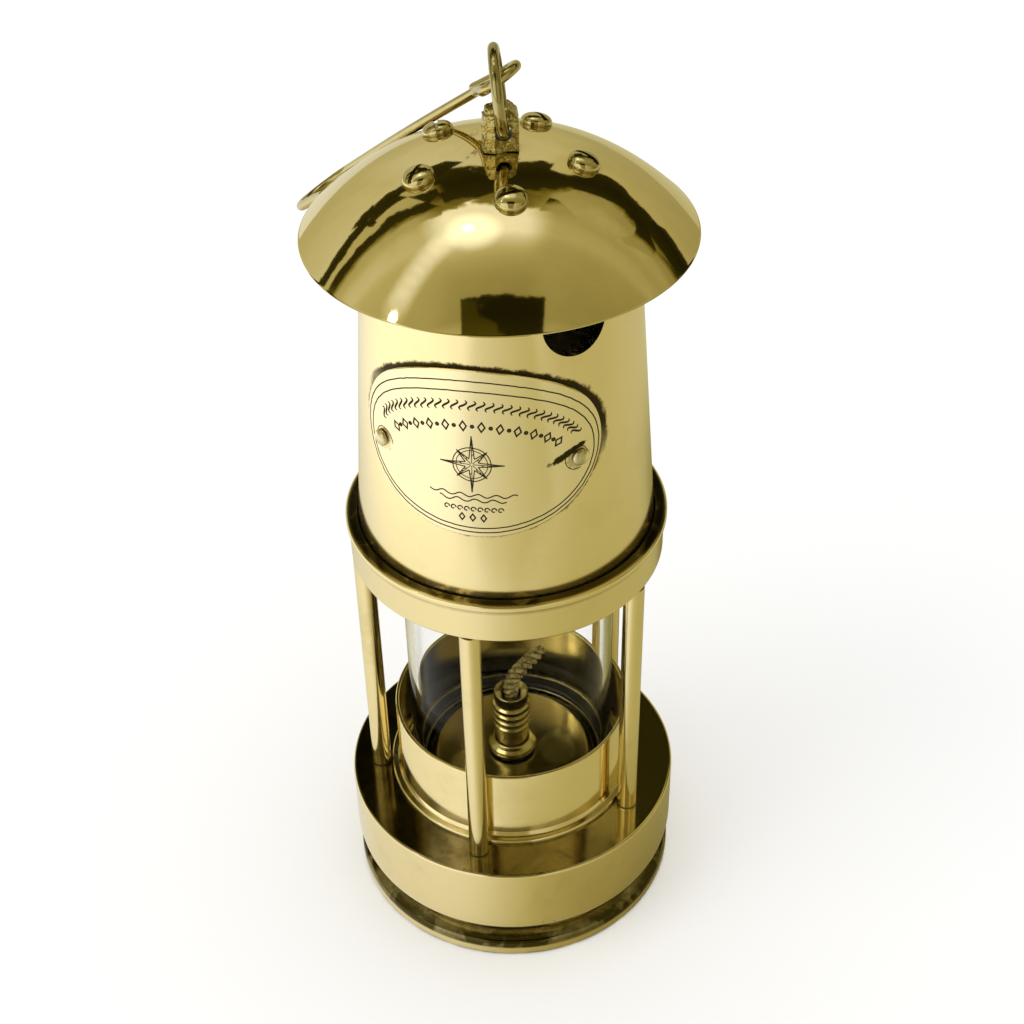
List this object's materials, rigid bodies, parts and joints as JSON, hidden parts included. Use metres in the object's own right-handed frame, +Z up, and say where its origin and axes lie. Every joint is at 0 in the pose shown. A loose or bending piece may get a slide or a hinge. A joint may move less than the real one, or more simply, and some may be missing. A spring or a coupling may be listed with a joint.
{
  "type": "ship lantern",
  "caption": "Hanging brass ship lantern: screw-on fuel tank, burner and wick, glass in a rod cage, tapered bonnet, domed hood, swivel ring and wire hook.",
  "frame": {"origin": "centre of the underside of the foot, where the lantern stands", "axes": "+Z up along the lantern's axis, -Y towards the side that carries the name plate (the plate faces 12 degrees to the left of -Y), +X to the right of that side"},
  "size_m": [0.0761, 0.0796, 0.1957],
  "materials": {
    "brass_body": "polished, lathe turned, light tarnish",
    "brass_bright": "polished",
    "brass_dull": "spun, darkened by heat",
    "brass_cast": "rough polished, dark in the hollows",
    "brass_plate": "satin, engraved lines filled black",
    "steel": "zinc plated",
    "seal": "matt black",
    "cotton": "twisted cotton, oil stained",
    "glass": "clear"
  },
  "bodies": {
    "lamp_body": {"base_skirt": "brass_body", "glass_collar": "brass_bright", "glass_seat_washer": "seal", "glass_chimney": "glass", "glass_top_washer": "seal", "cage_rods": "brass_bright", "rod_screws": "steel", "gallery_ring": "brass_body", "bonnet": "brass_body", "bonnet_crown": "brass_dull", "hood_spacers": "brass_dull", "hood": "brass_body", "hood_screws": "brass_bright", "hood_nuts": "brass_dull", "nameplate": "brass_plate", "nameplate_rivets": "brass_bright"},
    "seal_ring": {"tank_seal": "seal"},
    "tank": {"fuel_tank": "brass_body", "tank_top": "brass_dull"},
    "burner_seat": {"burner_washer": "seal"},
    "burner_unit": {"burner": "brass_dull"},
    "wick_body": {"wick": "cotton"},
    "swivel": {"swivel_post": "brass_cast", "swivel_washer": "steel", "swivel_nut": "steel"},
    "ring": {"hanging_ring": "brass_cast"},
    "hook_body": {"hook": "brass_cast"}
  },
  "joints": [
    {"name": "base_lower", "type": "slide", "parent": "lamp_body", "child": "seal_ring", "axis": [0, 0, 1], "range_m": [-0.006, 0]},
    {"name": "base_turn", "type": "hinge", "parent": "seal_ring", "child": "tank", "pos_m": [0, 0, 0], "axis": [0, 0, 1], "range_deg": [-1440, 0]},
    {"name": "burner_lift", "type": "slide", "parent": "tank", "child": "burner_seat", "axis": [0, 0, 1], "range_m": [0, 0.003]},
    {"name": "burner_turn", "type": "hinge", "parent": "burner_seat", "child": "burner_unit", "pos_m": [0, 0, 0.03], "axis": [0, 0, 1], "range_deg": [0, 1081]},
    {"name": "wick_raise", "type": "slide", "parent": "burner_unit", "child": "wick_body", "axis": [0, 0, 1], "range_m": [0, 0.006]},
    {"name": "swivel_turn", "type": "hinge", "parent": "lamp_body", "child": "swivel", "pos_m": [0, 0, 0.1771], "axis": [0, 0, 1], "continuous": true},
    {"name": "ring_swing", "type": "hinge", "parent": "swivel", "child": "ring", "pos_m": [0.0012, 0, 0.18067], "axis": [0, 1, 0], "range_deg": [0, 85]},
    {"name": "hook_lift", "type": "hinge", "parent": "ring", "child": "hook_body", "pos_m": [0.00046, 0, 0.18773], "axis": [0.9945, 0, 0.1045], "range_deg": [0, 130]}
  ],
  "couplings": [
    {"joint": "base_lower", "follows": "base_turn", "m_per_rad": 0.00023873},
    {"joint": "burner_turn", "follows": "burner_lift", "rad_per_m": 6283.2}
  ]
}
